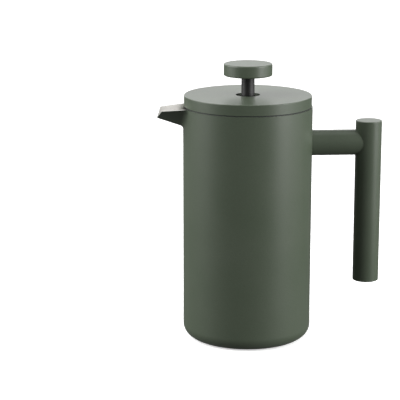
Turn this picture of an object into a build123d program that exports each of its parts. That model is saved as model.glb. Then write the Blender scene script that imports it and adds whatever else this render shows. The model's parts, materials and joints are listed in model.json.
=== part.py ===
from build123d import *
import os
from math import atan2, cos, pi, sin

os.makedirs("parts", exist_ok=True)

# French press with a double-wall steel vessel, a lift-off lid and a plunger.
# Millimetres. Origin on the vessel's axis at its foot, +Z up, handle towards +X, spout towards -X.

# Vessel
body_radius = 50.0
rim_height = 183.0
shell_wall = 0.8
base_corner = 9.6
foot_width = 4.4
wall_gap = 3.2
liner_wall = 0.8
liner_corner = 8.0
floor_height = 6.0
rim_thickness = 0.5
base_plate_thickness = 0.8
base_plate_lap = 3.0

# Spout: a V trough with a rounded keel, wider and deeper where it leaves the vessel
spout_reach = 17.0
spout_tip_drop = 1.5
spout_tip_half_width = 12.0
spout_tip_depth = 8.2
spout_tip_keel_radius = 3.0
spout_root_inset = 10.0
spout_root_half_width = 16.0
spout_root_depth = 22.2
spout_root_keel_radius = 5.0
spout_blend = 3.5
spout_skin = 0.8
trough_wall = 0.8
weld_margin = 6.0

# Handle
bar_height = 20.0
bar_width = 17.4
bar_drop = 29.4
handle_reach = 44.6
grip_radius = 10.2
grip_wall = 1.2
grip_length = 128.2
grip_rise = 17.2
cap_thickness = 1.6
cap_spigot_depth = 5.0
cap_edge = 0.6

# Lid
lid_setback = 0.7
lid_height = 8.1
lid_wall = 0.8
lid_edge = 0.5
lid_insulation = 3.0
seal_thickness = 0.7
seal_band_height = 3.0
seal_band_thickness = 1.7
seal_lip_setback = 0.4
strainer_depth = 12.5
strainer_wall = 0.8
strainer_slot_width = 1.8
strainer_slot_height = 7.0
strainer_slot_count = 11
strainer_slot_span = 56.0

# Guide bush in the lid's centre
bush_radius = 6.0
bush_flange_radius = 9.4
bush_flange_thickness = 1.2
bush_recess = 3.0
bush_nut_thickness = 4.0
bush_nut_flats = 17.0

# Knob and plunger
rod_radius = 3.0
knob_radius = 18.75
knob_thickness = 9.3
knob_lift = 15.0
knob_edge = 1.0
stem_radius = 5.1
insert_radius = 4.4
insert_depth = 6.0
rod_engagement = 4.8
filter_height = 17.2
cross_plate_setback = 0.9
cross_plate_thickness = 0.8
cross_plate_hub_radius = 9.0
cross_plate_rim_width = 4.0
cross_plate_spoke_width = 6.0
cross_plate_spokes = 6
mesh_thickness = 0.3
spiral_plate_thickness = 0.8
spiral_plate_lip = 3.6
spring_coil_radius = 1.4
hole_radius = 1.7
hole_pitch = 7.0
hole_rings = 4
hole_margin = 5.9
collar_radius = 6.0
collar_height = 5.0
nut_flats = 12.0
nut_thickness = 3.0

# How far a cutting shape runs past what it cuts
overcut = 10.0

# Clearances
running_fit = 0.06
seating_fit = 0.02
seal_gap = 0.3
wiper_gap = 0.5
stop_gap = 0.1

# Levels and radii that follow from the sizes above
shell_bore = body_radius - shell_wall
liner_outer = shell_bore - wall_gap
liner_bore = liner_outer - liner_wall
blend_height = rim_height + 2.0
foot_inner_radius = body_radius - base_corner - foot_width
bar_center_height = rim_height - bar_drop
grip_top = bar_center_height + grip_rise
grip_bottom = grip_top - grip_length
lid_radius = body_radius - lid_setback
lid_bore = lid_radius - lid_wall
seal_top = rim_height + seal_thickness
lid_bottom = seal_top + stop_gap
lid_top = lid_bottom + lid_height
recess_floor = lid_top - bush_recess
lid_pan_top = recess_floor - lid_wall
flange_bottom = seal_top + seating_fit
seal_band_outer = liner_bore - seal_gap
strainer_outer = seal_band_outer - seal_band_thickness - running_fit
grip_axis = body_radius + handle_reach
stem_bottom = recess_floor + bush_flange_thickness + stop_gap
knob_bottom = lid_top + knob_lift
mesh_bottom = filter_height + cross_plate_thickness
spiral_bottom = mesh_bottom + mesh_thickness
spiral_top = spiral_bottom + spiral_plate_thickness
spring_outer = liner_bore - wiper_gap
spring_ring_radius = spring_outer - spring_coil_radius
spiral_plate_radius = spring_ring_radius - spring_coil_radius - seating_fit
cross_plate_radius = spiral_plate_radius - cross_plate_setback


def round_form(radius, bottom, top, corner):
    """A solid cylinder whose lower edge is rounded."""
    with BuildPart() as form:
        with BuildSketch(Plane.XY.offset(bottom)):
            Circle(radius)
        extrude(amount=top - bottom)
        fillet(form.faces().sort_by(Axis.Z)[0].edges(), radius=corner)
    return form.part


def ring(outer, inner, bottom, top):
    """A plain ring or sleeve about the vertical axis."""
    with BuildPart() as form:
        with BuildSketch(Plane.XY.offset(bottom)):
            Circle(outer)
            Circle(inner, mode=Mode.SUBTRACT)
        extrude(amount=top - bottom)
    return form.part


# The spout's two section planes. The tip is cut square to the keel, so its keel stands further out.
keel_fall = spout_root_depth - spout_tip_depth - spout_tip_drop
keel_slope = atan2(keel_fall, spout_reach + spout_root_inset)
tip_x = body_radius + spout_reach
root_x = body_radius - spout_root_inset
root_plane = Plane(origin=(-root_x, 0, rim_height), x_dir=(0, -1, 0), z_dir=(-1, 0, 0))
tip_plane = Plane(
    origin=(-tip_x, 0, rim_height - spout_tip_drop),
    x_dir=(0, -1, 0),
    z_dir=(-cos(keel_slope), 0, sin(keel_slope)),
)


def spout_form(inset):
    """The spout as a solid wedge, with its section drawn in by the inset. It rises past the rim."""
    rise = blend_height - rim_height + spout_blend
    sections = (
        (root_plane, spout_root_half_width, spout_root_depth, spout_root_keel_radius),
        (tip_plane, spout_tip_half_width, spout_tip_depth, spout_tip_keel_radius),
    )
    with BuildPart() as form:
        for plane, half_width, depth, keel_radius in sections:
            top_half_width = half_width * (depth + rise) / depth
            with BuildSketch(plane) as section:
                with BuildLine():
                    Polyline((-top_half_width, rise), (0, -depth), (top_half_width, rise), close=True)
                make_face()
                fillet(section.vertices().sort_by(Axis.Y)[0], radius=keel_radius)
                if inset:
                    offset(amount=-inset, kind=Kind.INTERSECTION)
        loft(ruled=True)
    return form.part


def vessel_with_spout(radius, bottom, corner, inset, blend):
    """The vessel's round form joined to the spout's wedge, with a soft blend between them."""
    with BuildPart() as form:
        add(round_form(radius, bottom, blend_height + overcut, corner))
        add(spout_form(inset))
        split(bisect_by=Plane.XY.offset(blend_height), keep=Keep.BOTTOM)
        side = form.faces().filter_by(GeomType.CYLINDER).sort_by(SortBy.AREA)[-1]
        joint_edges = [
            edge
            for edge in side.edges()
            if edge.center().X < -root_x and corner < edge.center().Z < rim_height
        ]
        fillet(joint_edges, radius=blend)
    return form.part


def rim_cut():
    """The space above the rim and above the spout's falling top edge."""
    fall = spout_tip_drop / spout_reach
    far = 2 * spout_reach
    with BuildPart() as form:
        with BuildSketch(Plane.XZ):
            with BuildLine():
                Polyline(
                    (body_radius * 2, rim_height),
                    (-body_radius, rim_height),
                    (-body_radius - far, rim_height - fall * far),
                    (-body_radius - far, blend_height + overcut),
                    (body_radius * 2, blend_height + overcut),
                    close=True,
                )
            make_face()
        extrude(amount=body_radius * 2, both=True)
    return form.part


above_the_rim = rim_cut()
trough_outside = spout_form(spout_skin)

# The coated skin: outer shell and spout together, before the weld line divides them
with BuildPart() as coated_skin:
    add(vessel_with_spout(body_radius, 0, base_corner, 0, spout_blend))
    inner_corner = base_corner - shell_wall
    inner_blend = spout_blend + shell_wall
    add(
        vessel_with_spout(shell_bore, shell_wall, inner_corner, spout_skin, inner_blend),
        mode=Mode.SUBTRACT,
    )
    with BuildSketch(Plane.XY):
        Circle(foot_inner_radius)
    extrude(amount=shell_wall, mode=Mode.SUBTRACT)
    add(above_the_rim, mode=Mode.SUBTRACT)

# The weld line: a rounded window round the spout's root
with BuildPart() as weld_window:
    window_half_width = spout_root_half_width + weld_margin
    window_height = spout_root_depth + weld_margin
    with BuildSketch(Plane.YZ.offset(-tip_x * 2)):
        with Locations((0, rim_height)):
            RectangleRounded(2 * window_half_width, 2 * window_height, weld_margin)
    extrude(amount=tip_x * 2 - root_x + overcut)

with BuildPart() as outer_shell:
    add(coated_skin.part)
    add(weld_window.part, mode=Mode.SUBTRACT)

with BuildPart() as spout:
    add(coated_skin.part)
    add(weld_window.part, mode=Mode.INTERSECT)

# The bare steel trough inside the spout carries the liner's surface out to the tip
with BuildPart() as spout_trough:
    add(trough_outside)
    add(spout_form(spout_skin + trough_wall), mode=Mode.SUBTRACT)
    add(above_the_rim, mode=Mode.SUBTRACT)
    with BuildSketch(Plane.XY):
        Circle(liner_bore)
    extrude(amount=blend_height, mode=Mode.SUBTRACT)

with BuildPart() as inner_liner:
    add(round_form(liner_outer, floor_height - liner_wall, rim_height, liner_corner))
    add(ring(shell_bore, liner_bore, rim_height - rim_thickness, rim_height))
    add(
        round_form(liner_bore, floor_height, blend_height, liner_corner - liner_wall),
        mode=Mode.SUBTRACT,
    )
    add(trough_outside, mode=Mode.SUBTRACT)

with BuildPart() as base_plate:
    with BuildSketch(Plane.XY.offset(shell_wall)):
        Circle(foot_inner_radius + base_plate_lap)
    extrude(amount=base_plate_thickness)

# Handle: an oval bar between the shell and a round hollow grip with a cap at each end
with BuildPart() as handle_bar:
    with BuildSketch(Plane.YZ.offset(body_radius - bar_width)):
        with Locations((0, bar_center_height)):
            Ellipse(bar_width / 2, bar_height / 2)
    extrude(amount=handle_reach + bar_width)
    with BuildSketch(Plane.XY):
        Circle(body_radius)
        with Locations((grip_axis, 0)):
            Circle(grip_radius)
    extrude(amount=rim_height, mode=Mode.SUBTRACT)

with BuildPart() as handle_grip:
    with BuildSketch(Plane.XY.offset(grip_bottom + cap_thickness)):
        with Locations((grip_axis, 0)):
            Circle(grip_radius)
            Circle(grip_radius - grip_wall, mode=Mode.SUBTRACT)
    extrude(amount=grip_top - grip_bottom - 2 * cap_thickness)


def grip_cap(plane):
    """A round cap with a spigot that fits in the grip. The plane faces out of the grip's end."""
    with BuildPart() as cap:
        with BuildSketch(plane):
            Circle(grip_radius)
        extrude(amount=-cap_thickness)
        end_edges = [edge for edge in cap.edges() if plane.contains(edge.center())]
        fillet(end_edges, radius=cap_edge)
        with BuildSketch(plane.offset(-cap_thickness)):
            Circle(grip_radius - grip_wall - seating_fit)
        extrude(amount=-cap_spigot_depth)
    return cap


grip_top_cap = grip_cap(Plane(origin=(grip_axis, 0, grip_top), z_dir=(0, 0, 1)))
grip_bottom_cap = grip_cap(Plane(origin=(grip_axis, 0, grip_bottom), z_dir=(0, 0, -1)))

# Lid: a spun cover over an insulated pan, with a slotted strainer ring that hangs in the mouth
with BuildPart() as lid_cover:
    with BuildSketch(Plane.XY.offset(lid_bottom)):
        Circle(lid_radius)
    extrude(amount=lid_height)
    fillet(lid_cover.faces().sort_by(Axis.Z)[-1].edges(), radius=lid_edge)
    seat_radius = bush_flange_radius + lid_wall
    with BuildSketch(Plane.XY.offset(lid_bottom)):
        Circle(lid_bore)
        Circle(seat_radius + lid_wall, mode=Mode.SUBTRACT)
    extrude(amount=lid_height - lid_wall, mode=Mode.SUBTRACT)
    with BuildSketch(Plane.XY.offset(lid_bottom)):
        Circle(seat_radius + lid_wall)
    extrude(amount=lid_pan_top - lid_bottom, mode=Mode.SUBTRACT)
    with BuildSketch(Plane.XY.offset(recess_floor)):
        Circle(bush_flange_radius + seating_fit)
    extrude(amount=bush_recess, mode=Mode.SUBTRACT)
    with BuildSketch(Plane.XY.offset(lid_bottom)):
        Circle(bush_radius + seating_fit)
    extrude(amount=lid_height, mode=Mode.SUBTRACT)

with BuildPart() as lid_pan:
    pan_radius = strainer_outer - strainer_wall - lid_insulation
    with BuildSketch(Plane.XY.offset(flange_bottom)):
        Circle(lid_bore - seating_fit)
    extrude(amount=lid_wall)
    with BuildSketch(Plane.XY.offset(flange_bottom)):
        Circle(pan_radius)
    extrude(amount=lid_pan_top - flange_bottom)
    with BuildSketch(Plane.XY.offset(flange_bottom)):
        Circle(pan_radius - lid_wall)
    extrude(amount=lid_pan_top - lid_wall - flange_bottom, mode=Mode.SUBTRACT)
    with BuildSketch(Plane.XY.offset(flange_bottom)):
        Circle(bush_radius + seating_fit)
    extrude(amount=lid_height, mode=Mode.SUBTRACT)

with BuildPart() as strainer_ring:
    with BuildSketch(Plane.XY.offset(flange_bottom - strainer_depth)):
        Circle(strainer_outer)
        Circle(strainer_outer - strainer_wall, mode=Mode.SUBTRACT)
    extrude(amount=strainer_depth)
    slot_center_height = flange_bottom - strainer_depth + strainer_wall * 2 + strainer_slot_height / 2
    slot_start = 180 - strainer_slot_span / 2
    with Locations((0, 0, slot_center_height)):
        with PolarLocations(strainer_outer, strainer_slot_count, slot_start, strainer_slot_span):
            Box(4 * strainer_wall, strainer_slot_width, strainer_slot_height, mode=Mode.SUBTRACT)

with BuildPart() as lid_seal:
    seal_bore = strainer_outer + running_fit
    with BuildSketch(Plane.XY.offset(seal_top - seal_thickness)):
        Circle(lid_radius - seal_lip_setback)
        Circle(seal_bore, mode=Mode.SUBTRACT)
    extrude(amount=seal_thickness)
    with BuildSketch(Plane.XY.offset(seal_top - seal_band_height)):
        Circle(seal_band_outer)
        Circle(seal_bore, mode=Mode.SUBTRACT)
    extrude(amount=seal_band_height)

with BuildPart() as guide_bush:
    with BuildSketch(Plane.XY.offset(recess_floor)):
        Circle(bush_flange_radius)
    extrude(amount=bush_flange_thickness)
    with BuildSketch(Plane.XY.offset(lid_pan_top - lid_wall - bush_nut_thickness)):
        Circle(bush_radius)
    extrude(amount=bush_nut_thickness + 2 * lid_wall)
    with BuildSketch(Plane.XY.offset(lid_bottom - lid_height)):
        Circle(rod_radius + running_fit)
    extrude(amount=2 * lid_height, mode=Mode.SUBTRACT)

with BuildPart() as bush_nut:
    with BuildSketch(Plane.XY.offset(lid_pan_top - lid_wall - bush_nut_thickness)):
        RegularPolygon(bush_nut_flats / 2, 6, major_radius=False)
        Circle(bush_radius + seating_fit, mode=Mode.SUBTRACT)
    extrude(amount=bush_nut_thickness)

# Knob: a flat disc on a slim stem, screwed to the rod through a threaded insert
with BuildPart() as knob_head:
    with BuildSketch(Plane.XY.offset(knob_bottom)):
        Circle(knob_radius)
    extrude(amount=knob_thickness)
    fillet(knob_head.edges().filter_by(GeomType.CIRCLE), radius=knob_edge)
    with BuildSketch(Plane.XY.offset(knob_bottom)):
        Circle(insert_radius + seating_fit)
    extrude(amount=insert_depth, mode=Mode.SUBTRACT)

knob_insert = BuildPart()
with knob_insert:
    add(ring(insert_radius, rod_radius + seating_fit, knob_bottom, knob_bottom + insert_depth))

knob_stem = BuildPart()
with knob_stem:
    add(ring(stem_radius, rod_radius + seating_fit, stem_bottom, knob_bottom))

with BuildPart() as plunger_rod:
    with BuildSketch(Plane.XY.offset(filter_height - nut_thickness)):
        Circle(rod_radius)
    extrude(amount=knob_bottom + rod_engagement - filter_height + nut_thickness)

# Filter stack, from the bottom: nut, cross plate, mesh, spiral plate with its edge spring, collar
with BuildPart() as hub_nut:
    with BuildSketch(Plane.XY.offset(filter_height - nut_thickness)):
        RegularPolygon(nut_flats / 2, 6, major_radius=False)
        Circle(rod_radius + seating_fit, mode=Mode.SUBTRACT)
    extrude(amount=nut_thickness)

with BuildPart() as cross_plate:
    with BuildSketch(Plane.XY.offset(filter_height)):
        Circle(cross_plate_radius)
        Circle(cross_plate_radius - cross_plate_rim_width, mode=Mode.SUBTRACT)
        Circle(cross_plate_hub_radius)
        spoke_length = cross_plate_radius - cross_plate_rim_width / 2
        with PolarLocations(spoke_length / 2, cross_plate_spokes):
            Rectangle(spoke_length, cross_plate_spoke_width)
        Circle(rod_radius + seating_fit, mode=Mode.SUBTRACT)
    extrude(amount=cross_plate_thickness)

mesh_screen = BuildPart()
with mesh_screen:
    add(ring(spring_outer, rod_radius + seating_fit, mesh_bottom, spiral_bottom))

with BuildPart() as spiral_plate:
    with BuildSketch(Plane.XY.offset(spiral_bottom)):
        Circle(spiral_plate_radius)
        Circle(rod_radius + seating_fit, mode=Mode.SUBTRACT)
        for ring_index in range(hole_rings):
            ring_radius = spiral_plate_radius - hole_margin - ring_index * hole_pitch
            hole_count = round(2 * pi * ring_radius / hole_pitch)
            with PolarLocations(ring_radius, hole_count):
                Circle(hole_radius, mode=Mode.SUBTRACT)
    extrude(amount=spiral_plate_thickness)
    with BuildSketch(Plane.XY.offset(spiral_bottom)):
        Circle(spiral_plate_radius)
        Circle(spiral_plate_radius - spiral_plate_thickness, mode=Mode.SUBTRACT)
    extrude(amount=spiral_plate_lip)

with BuildPart() as edge_spring:
    with BuildSketch(Plane.XZ):
        with Locations((spring_ring_radius, spiral_bottom + spring_coil_radius)):
            Circle(spring_coil_radius)
    revolve(axis=Axis.Z)

rod_collar = BuildPart()
with rod_collar:
    add(ring(collar_radius, rod_radius + seating_fit, spiral_top, spiral_top + collar_height))

pieces = {
    "outer_shell": outer_shell,
    "spout": spout,
    "spout_trough": spout_trough,
    "inner_liner": inner_liner,
    "base_plate": base_plate,
    "handle_bar": handle_bar,
    "handle_grip": handle_grip,
    "grip_top_cap": grip_top_cap,
    "grip_bottom_cap": grip_bottom_cap,
    "lid_cover": lid_cover,
    "lid_pan": lid_pan,
    "strainer_ring": strainer_ring,
    "lid_seal": lid_seal,
    "guide_bush": guide_bush,
    "bush_nut": bush_nut,
    "knob_head": knob_head,
    "knob_insert": knob_insert,
    "knob_stem": knob_stem,
    "plunger_rod": plunger_rod,
    "hub_nut": hub_nut,
    "cross_plate": cross_plate,
    "mesh_screen": mesh_screen,
    "spiral_plate": spiral_plate,
    "edge_spring": edge_spring,
    "rod_collar": rod_collar,
}
for label, piece in pieces.items():
    piece.part.label = label
    export_step(piece.part, f"parts/{label}.step")
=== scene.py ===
# %% [markdown]
# # A French press, dressed for the camera
# The press arrives as a finished frame: every part has its place, its size and its joints.
# This notebook gives each part the finish of the real one, winds the spring at the filter's edge,
# weaves the filter's mesh, and sets up a small studio around it. Everything is in metres,
# with the handle towards +X, the spout towards -X and the plunger up +Z.

# %% Load the frame
import json
from math import hypot, pi, radians

import bmesh
import bpy
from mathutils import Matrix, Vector


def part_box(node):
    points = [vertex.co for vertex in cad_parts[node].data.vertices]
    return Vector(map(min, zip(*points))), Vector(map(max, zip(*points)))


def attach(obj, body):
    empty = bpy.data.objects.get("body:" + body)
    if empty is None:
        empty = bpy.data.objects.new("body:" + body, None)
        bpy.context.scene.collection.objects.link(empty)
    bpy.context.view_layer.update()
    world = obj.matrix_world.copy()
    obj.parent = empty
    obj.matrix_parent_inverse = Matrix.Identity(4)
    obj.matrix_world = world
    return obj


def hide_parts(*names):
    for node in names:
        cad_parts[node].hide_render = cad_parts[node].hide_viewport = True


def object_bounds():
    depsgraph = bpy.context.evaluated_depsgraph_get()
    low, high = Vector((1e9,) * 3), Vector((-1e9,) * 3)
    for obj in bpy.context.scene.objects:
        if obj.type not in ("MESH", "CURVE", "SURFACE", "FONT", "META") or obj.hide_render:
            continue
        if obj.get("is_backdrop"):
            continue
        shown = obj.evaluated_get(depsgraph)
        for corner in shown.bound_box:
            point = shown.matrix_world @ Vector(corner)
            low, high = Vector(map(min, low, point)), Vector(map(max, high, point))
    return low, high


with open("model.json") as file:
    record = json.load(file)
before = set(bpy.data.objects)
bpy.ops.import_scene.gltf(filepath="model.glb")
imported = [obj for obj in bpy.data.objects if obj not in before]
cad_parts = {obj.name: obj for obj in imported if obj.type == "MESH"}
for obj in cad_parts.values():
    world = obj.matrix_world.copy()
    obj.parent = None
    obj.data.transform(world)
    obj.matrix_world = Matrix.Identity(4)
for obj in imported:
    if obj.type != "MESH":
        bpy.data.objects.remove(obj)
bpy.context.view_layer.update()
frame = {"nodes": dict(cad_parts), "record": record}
print("nodes:", len(frame["nodes"]))

MM = 0.001

# %% [markdown]
# ## Colours and nodes
# Finishes are written as the sRGB hex values a painter would pick from a swatch. Blender shades in
# linear light, so one function turns a swatch into linear numbers. Another adds a shader node
# with its settings and its links, so that each finish reads as a short recipe. A third starts a
# material, with the values that are the same all over set straight on the shader's own sockets.


# %% Swatch and node helpers
def swatch(hex_code):
    """A '#rrggbb' swatch as linear RGBA."""
    channels = [int(hex_code[i : i + 2], 16) / 255 for i in (1, 3, 5)]
    linear = [c / 12.92 if c <= 0.04045 else ((c + 0.055) / 1.055) ** 2.4 for c in channels]
    return (*linear, 1.0)


def add_node(tree, kind, inputs=None, stops=(), **settings):
    """Adds a shader node. An input is a plain value or another node's output socket.

    Stops are the positions and swatches of a colour ramp.
    """
    new = tree.nodes.new("ShaderNode" + kind)
    for name, value in settings.items():
        setattr(new, name, value)
    for name, value in (inputs or {}).items():
        if isinstance(value, bpy.types.NodeSocket):
            tree.links.new(value, new.inputs[name])
        else:
            new.inputs[name].default_value = value
    for index, (position, hex_code) in enumerate(stops):
        new.color_ramp.elements[index].position = position
        new.color_ramp.elements[index].color = swatch(hex_code)
    return new


def new_finish(name, **shader_values):
    """A material with a Principled shader whose uniform values are set on its own sockets."""
    material = bpy.data.materials.new(name)
    material.use_nodes = True
    tree = material.node_tree
    tree.nodes.clear()
    shader = add_node(tree, "BsdfPrincipled", shader_values)
    output = add_node(tree, "OutputMaterial")
    tree.links.new(shader.outputs["BSDF"], output.inputs["Surface"])
    return material, tree, shader


print("a mid swatch in linear light:", [round(c, 3) for c in swatch("#808080")])

# %% [markdown]
# ## Powder coat
# The vessel, lid, knob and handle wear a baked polyester powder coat in a satin sage green. The
# powder is sprayed on dry and melts into one film in the oven, and the film is never quite level.
# It keeps a faint orange peel about a millimetre across, and its shade drifts by a hair over the
# width of a hand. Coarser grains of pigment leave a fine speckle, drawn here at 0.6 mm, which is
# about twice their real size, so that it shows. A satin film scatters what it mirrors, so the
# studio's lights turn into broad soft bands, and that tells the eye that this is coated metal.


# %% Powder coat
def powder_coat():
    """Satin baked powder coat over steel."""
    material, tree, shader = new_finish("satin_powder_coat", Metallic=0.0, IOR=1.5)
    place = add_node(tree, "TexCoord").outputs["Object"]
    drift = add_node(tree, "TexNoise", {"Vector": place, "Scale": 1 / (40 * MM), "Detail": 2.0})
    stops = ((0.3, "#485243"), (0.7, "#4c5547"))
    base = add_node(tree, "ValToRGB", {"Fac": drift.outputs["Fac"]}, stops)
    grains = add_node(tree, "TexNoise", {"Vector": place, "Scale": 1 / (0.6 * MM), "Detail": 2.0})
    stops = ((0.35, "#f2f2f2"), (0.65, "#ffffff"))
    speckle = add_node(tree, "ValToRGB", {"Fac": grains.outputs["Fac"]}, stops)
    mixed = add_node(
        tree,
        "Mix",
        {"Factor": 1.0, "A": base.outputs["Color"], "B": speckle.outputs["Color"]},
        data_type="RGBA",
        blend_type="MULTIPLY",
    )
    tree.links.new(mixed.outputs["Result"], shader.inputs["Base Color"])
    peel = add_node(tree, "TexNoise", {"Vector": place, "Scale": 1 / (1.1 * MM), "Detail": 1.0})
    gloss = add_node(
        tree, "MapRange", {"Value": peel.outputs["Fac"], "To Min": 0.35, "To Max": 0.41}
    )
    tree.links.new(gloss.outputs["Result"], shader.inputs["Roughness"])
    bump = add_node(
        tree, "Bump", {"Height": peel.outputs["Fac"], "Strength": 0.35, "Distance": 0.02 * MM}
    )
    tree.links.new(bump.outputs["Normal"], shader.inputs["Normal"])
    return material


coat = powder_coat()
print("made", coat.name)

# %% [markdown]
# ## Stainless steel
# The liner, trough, lid pan and strainer are bare 304 stainless. Spun and turned parts are
# finished against an abrasive belt while they rotate, so their fine scratches run round the axis.
# The trough is a folded strip, brushed along its length. The scratches are a noise stretched along
# the direction of brushing. Round the axis, the noise is read at a point made of the angle, slowed
# down, and of the height plus the radius, sped up. Real scratches are a few hundredths of
# a millimetre apart: they are drawn 0.25 mm apart, so that they show.


# %% Turned and brushed steel
SCRATCH = 0.25 * MM
SCRATCH_LENGTH = 60 * SCRATCH
SCRATCHES_PER_RADIAN = 6.0  # each is about 8 mm long at the vessel's wall


def steel_finish(name, dark, light, rough_low, rough_high, around):
    """Stainless steel with scratches that run round the axis or along X."""
    material, tree, shader = new_finish(name, Metallic=1.0)
    place = add_node(tree, "TexCoord").outputs["Object"]
    if around:
        apart = add_node(tree, "SeparateXYZ", {"Vector": place})
        flat = add_node(tree, "CombineXYZ", {"X": apart.outputs["X"], "Y": apart.outputs["Y"]})
        radius = add_node(tree, "VectorMath", {0: flat.outputs["Vector"]}, operation="LENGTH")
        facing = add_node(tree, "VectorMath", {0: flat.outputs["Vector"]}, operation="NORMALIZE")
        angle = add_node(
            tree,
            "VectorMath",
            {0: facing.outputs["Vector"], 3: SCRATCHES_PER_RADIAN},
            operation="SCALE",
        )
        lift = add_node(
            tree, "Math", {0: apart.outputs["Z"], 1: radius.outputs["Value"]}, operation="ADD"
        )
        across = add_node(
            tree, "Math", {0: lift.outputs["Value"], 1: 1 / SCRATCH}, operation="MULTIPLY"
        )
        height = add_node(tree, "CombineXYZ", {"Z": across.outputs["Value"]})
        brushed = add_node(
            tree,
            "VectorMath",
            {0: angle.outputs["Vector"], 1: height.outputs["Vector"]},
            operation="ADD",
        )
    else:
        stretch = (1 / SCRATCH_LENGTH, 1 / SCRATCH, 1 / SCRATCH)
        brushed = add_node(tree, "Mapping", {"Vector": place, "Scale": stretch})
    scratch = add_node(
        tree, "TexNoise", {"Vector": brushed.outputs["Vector"], "Scale": 1.0, "Detail": 3.0}
    )
    stops = ((0.3, dark), (0.7, light))
    color = add_node(tree, "ValToRGB", {"Fac": scratch.outputs["Fac"]}, stops)
    tree.links.new(color.outputs["Color"], shader.inputs["Base Color"])
    gloss = add_node(
        tree,
        "MapRange",
        {"Value": scratch.outputs["Fac"], "To Min": rough_low, "To Max": rough_high},
    )
    tree.links.new(gloss.outputs["Result"], shader.inputs["Roughness"])
    bump = add_node(
        tree, "Bump", {"Height": scratch.outputs["Fac"], "Strength": 0.3, "Distance": 0.01 * MM}
    )
    tree.links.new(bump.outputs["Normal"], shader.inputs["Normal"])
    return material


# Turned parts are a little darker and duller than bright drawn bar, and the trough is the palest.
turned_steel = steel_finish("turned_304_stainless", "#b9b7b2", "#d2d0cb", 0.22, 0.34, around=True)
trough_steel = steel_finish("brushed_304_stainless", "#c2c0bb", "#dedcd7", 0.28, 0.40, around=False)
drawn_steel = steel_finish("drawn_bright_stainless", "#bcbbb8", "#dddcd9", 0.12, 0.22, around=True)
print("made", turned_steel.name, trough_steel.name, drawn_steel.name)

# %% [markdown]
# ## Grained finishes
# The knob's stem and the bush that it lands on are black acetal, a hard slippery plastic. Its mould
# is spark-eroded, which leaves a fine matt grain. The lid's seal is silicone, duller still. The
# insert in the knob is brass from a bar lathe, and the wires of the spring and the mesh are pickled
# stainless with a faint mottling along them. All of them are one kind of surface: a base colour
# and a gloss that both follow a small grain, with a bump from the same grain.


# %% Grained finishes
GLOSS_SPREAD = 0.05


def grained(name, dark, light, roughness, grain, depth, **shader_values):
    """A surface whose colour, gloss and height all follow one fine grain."""
    material, tree, shader = new_finish(name, **shader_values)
    place = add_node(tree, "TexCoord").outputs["Object"]
    grains = add_node(tree, "TexNoise", {"Vector": place, "Scale": 1 / grain, "Detail": 3.0})
    stops = ((0.3, dark), (0.7, light))
    color = add_node(tree, "ValToRGB", {"Fac": grains.outputs["Fac"]}, stops)
    tree.links.new(color.outputs["Color"], shader.inputs["Base Color"])
    dull, sharp = roughness + GLOSS_SPREAD, roughness - GLOSS_SPREAD
    gloss = add_node(
        tree, "MapRange", {"Value": grains.outputs["Fac"], "To Min": sharp, "To Max": dull}
    )
    tree.links.new(gloss.outputs["Result"], shader.inputs["Roughness"])
    bump = add_node(
        tree, "Bump", {"Height": grains.outputs["Fac"], "Strength": 0.4, "Distance": depth}
    )
    tree.links.new(bump.outputs["Normal"], shader.inputs["Normal"])
    return material


acetal = grained(
    "moulded_black_acetal", "#101010", "#181818", 0.5, 0.4 * MM, 0.02 * MM, IOR=1.48
)
silicone = grained(
    "moulded_grey_silicone", "#1f2120", "#2a2c2b", 0.65, 0.6 * MM, 0.02 * MM, IOR=1.41
)
brass = grained(
    "turned_brass", "#b08d46", "#c9a65a", 0.25, 0.3 * MM, 0.01 * MM, Metallic=1.0
)
wire_steel = grained(
    "spring_stainless_wire", "#aeada9", "#cfcecb", 0.25, 0.8 * MM, 0.01 * MM, Metallic=1.0
)
mesh_steel = grained(
    "woven_stainless_wire", "#a5a4a0", "#c6c5c1", 0.3, 0.8 * MM, 0.01 * MM, Metallic=1.0
)
print("made", acetal.name, silicone.name, brass.name, wire_steel.name, mesh_steel.name)

# %% [markdown]
# ## Dress the frame
# The press's record names a finish for each part, as a parts list would. One table turns those
# names into the materials above, so a part can't be missed. Only the trough differs: it is bare
# steel like the liner, but it is brushed along its length and not round the axis.

# %% Give each node its finish
FINISHES = {
    "coated_steel": coat,
    "bare_steel": turned_steel,
    "drawn_steel": drawn_steel,
    "woven_mesh": mesh_steel,
    "spring_wire": wire_steel,
    "dark_polymer": acetal,
    "silicone": silicone,
    "brass": brass,
}
for subpart in frame["record"]["subparts"]:
    part = frame["nodes"][subpart["node"]]
    part.data.materials.clear()
    part.data.materials.append(FINISHES[subpart["material_slot"]])
frame["nodes"]["spout_trough"].data.materials[0] = trough_steel
print("finished", len(frame["nodes"]), "nodes")

# %% [markdown]
# ## The edge spring
# The filter wipes the wall with a long, soft coil spring bent into a ring. The wire is wound on
# a mandrel first, and the straight coil is then closed round the plate. It is made here in the same
# order: a circle the size of the wire is swept into a straight coil by a Screw modifier, and a
# Simple Deform bends the coil until its ends meet. The coil touches its envelope all round, so the
# filter keeps the size that the frame gave it.

# %% Wind the straight coil
WIRE_RADIUS = 0.225 * MM
TURNS = 200
STEPS_PER_TURN = 10
low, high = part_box("edge_spring")
coil_radius = (high.z - low.z) / 2
ring_radius = (high.x - low.x) / 2 - coil_radius
coil_length = 2 * pi * ring_radius

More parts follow.
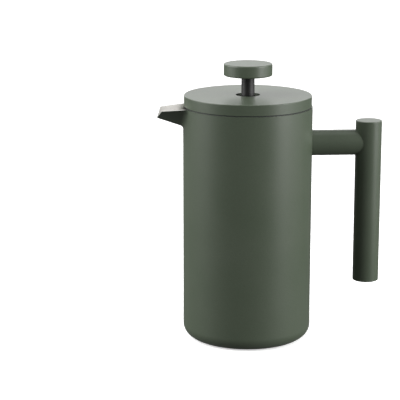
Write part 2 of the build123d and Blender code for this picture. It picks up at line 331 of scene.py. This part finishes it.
bpy.ops.object.select_all(action="DESELECT")
bpy.ops.mesh.primitive_circle_add(
    vertices=5,
    radius=WIRE_RADIUS,
    location=(0, 0, coil_radius - WIRE_RADIUS),
    rotation=(radians(90), 0, 0),
)
spring = bpy.context.object
spring.name = "wound_spring"
bpy.ops.object.transform_apply(location=True, rotation=True, scale=True)
winding = spring.modifiers.new("winding", "SCREW")
winding.axis = "X"
winding.angle = 2 * pi
winding.screw_offset = coil_length / TURNS
winding.iterations = TURNS
winding.steps = STEPS_PER_TURN
winding.render_steps = STEPS_PER_TURN
bpy.ops.object.modifier_apply(modifier=winding.name)
pitch_mm = coil_length / TURNS / MM
print("straight coil:", round(coil_length / MM), "mm long, pitch", round(pitch_mm, 2), "mm")

# %% Bend it into a ring and join its ends
# Simple Deform spreads its angle over the whole mesh, and the wire reaches past both ends.
bending = spring.modifiers.new("bending", "SIMPLE_DEFORM")
bending.deform_method = "BEND"
bending.deform_axis = "Z"
bending.angle = 2 * pi * (coil_length + 2 * WIRE_RADIUS) / coil_length
bpy.ops.object.modifier_apply(modifier=bending.name)
ring_low = Vector([min(v.co[axis] for v in spring.data.vertices) for axis in range(3)])
ring_high = Vector([max(v.co[axis] for v in spring.data.vertices) for axis in range(3)])
spring.location = (low + high) / 2 - (ring_low + ring_high) / 2
bpy.ops.object.transform_apply(location=True, rotation=True, scale=True)
bpy.ops.object.mode_set(mode="EDIT")
bpy.ops.mesh.select_all(action="SELECT")
bpy.ops.mesh.remove_doubles(threshold=WIRE_RADIUS / 10)
bpy.ops.mesh.normals_make_consistent(inside=False)
bpy.ops.object.mode_set(mode="OBJECT")
bpy.ops.object.shade_smooth()
spring.data.materials.append(wire_steel)
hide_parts("edge_spring")
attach(spring, "plunger")
reach_mm = spring.dimensions.x / 2 / MM
print("ring:", round(reach_mm, 2), "mm from the axis,", len(spring.data.polygons), "faces")

# %% [markdown]
# ## The woven screen
# Between the two plates lies a disc of plain-weave mesh: each wire passes over one crossing wire
# and under the next. A loom holds one set of wires, the warp, and a shuttle carries the weft
# between them. One wave of one wire is modelled and arrayed into a wire, a second wire half
# a wave further on makes a pair, and the pair is arrayed into the warp. The warp turned a quarter
# and upside down is the weft. Real mesh has wires about 0.2 mm apart: these are 1.4 mm apart and
# rolled flat, so that the weave shows and the disc keeps its thickness.

# %% One wave of one wire
PITCH = 1.4 * MM
WIRE_WIDTH = 0.55 * MM
THICKNESS_SHARE = 0.46  # of the disc's thickness: two wires cross and leave a sliver of room
low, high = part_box("mesh_screen")
screen_radius = (high.x - low.x) / 2
screen_height = (low.z + high.z) / 2
hole_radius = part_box("plunger_rod")[1].x
wire_thickness = (high.z - low.z) * THICKNESS_SHARE
wave = (high.z - low.z) / 2 - wire_thickness / 2
waves = int(screen_radius / (2 * PITCH)) * 2 + 4  # two spare waves past each side of the disc
start = (-waves * PITCH, -waves * PITCH, screen_height + wave)

bpy.ops.object.select_all(action="DESELECT")
bpy.ops.mesh.primitive_circle_add(
    vertices=4, radius=WIRE_WIDTH / 2, location=start, rotation=(0, radians(90), 0)
)
screen = bpy.context.object
screen.name = "woven_screen"
bpy.ops.object.transform_apply(location=True, rotation=True, scale=True)
bpy.ops.object.mode_set(mode="EDIT")
bpy.ops.mesh.select_all(action="SELECT")
bpy.ops.transform.resize(value=(1, 1, wire_thickness / WIRE_WIDTH), center_override=start)
for step in (-wave, -wave, wave, wave):
    bpy.ops.mesh.extrude_region_move(TRANSFORM_OT_translate={"value": (PITCH / 2, 0, step)})
bpy.ops.object.mode_set(mode="OBJECT")
print("one wave:", len(screen.data.polygons), "faces")


# %% Array the wave into a wire, and the wires into the warp
def array_piece(piece, count, offset):
    """Repeats a piece in a row and joins what meets."""
    row = piece.modifiers.new("row", "ARRAY")
    row.count = count
    row.use_relative_offset = False
    row.use_constant_offset = True
    row.constant_offset_displace = offset
    row.use_merge_vertices = True
    row.merge_threshold = 0.01 * MM
    bpy.ops.object.modifier_apply(modifier=row.name)


array_piece(screen, waves, (2 * PITCH, 0, 0))
bpy.ops.object.mode_set(mode="EDIT")
bpy.ops.mesh.select_all(action="SELECT")
bpy.ops.mesh.duplicate_move(TRANSFORM_OT_translate={"value": (PITCH, PITCH, 0)})
bpy.ops.object.mode_set(mode="OBJECT")
array_piece(screen, waves, (0, 2 * PITCH, 0))
print("warp:", len(screen.data.polygons), "faces before it is cut round")

# %% Cut the warp round, close its wires and turn a copy into the weft
bpy.ops.object.mode_set(mode="EDIT")
bpy.ops.mesh.select_mode(type="VERT")
bpy.ops.mesh.select_all(action="DESELECT")
cloth = bmesh.from_edit_mesh(screen.data)
for point in cloth.verts:
    wire_y = round(point.co.y / PITCH) * PITCH
    reach = hypot(point.co.x, abs(wire_y) + WIRE_WIDTH / 2)
    from_axis = hypot(point.co.x, wire_y)
    point.select = reach > screen_radius or from_axis < hole_radius + WIRE_WIDTH / 2
cloth.select_flush_mode()
bmesh.update_edit_mesh(screen.data)
bpy.ops.mesh.delete(type="VERT")
bpy.ops.mesh.select_all(action="SELECT")
bpy.ops.mesh.fill_holes(sides=4)
bpy.ops.mesh.select_all(action="SELECT")
middle = (0, 0, screen_height)
bpy.ops.mesh.duplicate()
bpy.ops.transform.rotate(value=radians(90), orient_axis="Z", center_override=middle)
bpy.ops.transform.resize(value=(1, 1, -1), center_override=middle)
bpy.ops.mesh.select_all(action="SELECT")
bpy.ops.mesh.normals_make_consistent(inside=False)
bpy.ops.object.mode_set(mode="OBJECT")
bpy.ops.object.shade_smooth_by_angle(angle=radians(60))
screen.data.materials.append(mesh_steel)
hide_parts("mesh_screen")
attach(screen, "plunger")
thick_mm = screen.dimensions.z / MM
print("screen:", len(screen.data.polygons), "faces,", round(thick_mm, 3), "mm thick")

# %% [markdown]
# ## The studio
# A matt pale floor, a large soft light on the spout's side, two narrower ones on the handle's
# side, a small one above, and two cards behind. A satin cylinder mirrors what stands beside it, so
# the side lights draw the two broad bands down the vessel and leave the middle dark. The cards
# behind give the flat tops their sheen, and the light above is what the steel of the trough
# mirrors. The press doesn't mirror the floor, as it wouldn't mirror a black table, and so the
# undersides of the bar and the spout stay deep. The floor glows a little, so that it stays pale
# under the press.


# %% Floor and lights
def soft_light(name, place, look_at, width, height, power):
    """A rectangular soft light that faces a point."""
    lamp = bpy.data.lights.new(name, "AREA")
    lamp.shape = "RECTANGLE"
    lamp.size = width
    lamp.size_y = height
    lamp.energy = power
    holder = bpy.data.objects.new(name, lamp)
    holder.location = place
    holder.rotation_euler = (Vector(look_at) - Vector(place)).to_track_quat("-Z", "Y").to_euler()
    holder.visible_camera = False
    bpy.context.scene.collection.objects.link(holder)


bpy.ops.object.select_all(action="DESELECT")
bpy.ops.mesh.primitive_plane_add(size=12.0, location=(0, 0, 0))
floor = bpy.context.object
floor.name = "studio_floor"
floor.visible_diffuse = False
floor.visible_glossy = False
floor_paint, _, floor_shader = new_finish("pale_floor", Roughness=1.0)
floor_shader.inputs["Base Color"].default_value = swatch("#f4f4f4")
floor_shader.inputs["Specular IOR Level"].default_value = 0.0
floor_shader.inputs["Emission Color"].default_value = swatch("#ffffff")
floor_shader.inputs["Emission Strength"].default_value = 0.45
floor.data.materials.append(floor_paint)
floor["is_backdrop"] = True
print("floor:", round(floor.dimensions.x), "m square")

MIDDLE = (0, 0, 0.11)  # the lights face the press at about half its height
soft_light("left_light", (-1.6, 0, 1.0), MIDDLE, 1.6, 2.0, 62)
soft_light("right_light", (1.386, -0.8, 0.62), MIDDLE, 0.85, 1.2, 34)
soft_light("right_edge_light", (1.6, 0, 0.62), MIDDLE, 0.85, 1.2, 11)
soft_light("top_light", (0.4, 0, 2.4), MIDDLE, 1.2, 1.2, 6)
soft_light("back_low_card", (0, 2.6, 0.75), MIDDLE, 4.0, 1.3, 20.5)
soft_light("back_high_card", (0, 2.4, 1.9), MIDDLE, 4.0, 1.3, 24.5)

world = bpy.data.worlds.new("studio")
bpy.context.scene.world = world
world.use_nodes = True
world.node_tree.nodes["Background"].inputs["Color"].default_value = swatch("#ffffff")
world.node_tree.nodes["Background"].inputs["Strength"].default_value = 0.14

# %% [markdown]
# ## The camera
# The press is seen from 1.25 m away and from a little above, through a long lens. That keeps the
# vessel's sides nearly upright and shows the lid as a flat ellipse, as a catalogue would. The view
# turns 4 degrees towards the handle and looks down by 13.2 degrees.

# %% Camera
camera = bpy.data.objects.new("camera", bpy.data.cameras.new("camera"))
camera.location = (-0.1217, -1.2118, 0.3941)
camera.rotation_euler = (radians(90 - 13.20), 0, radians(-4.0))
camera.data.lens = 144.0
camera.data.sensor_width = 36.0
bpy.context.scene.collection.objects.link(camera)
bpy.context.scene.camera = camera
bpy.context.scene.view_settings.view_transform = "Standard"
print("camera:", round((camera.location - Vector(MIDDLE)).length, 2), "m from the press")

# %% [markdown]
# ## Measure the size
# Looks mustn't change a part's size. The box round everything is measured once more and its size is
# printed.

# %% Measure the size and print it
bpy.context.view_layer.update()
low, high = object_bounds()
print("the dressed press in mm:", [round((high[i] - low[i]) / MM, 1) for i in range(3)])
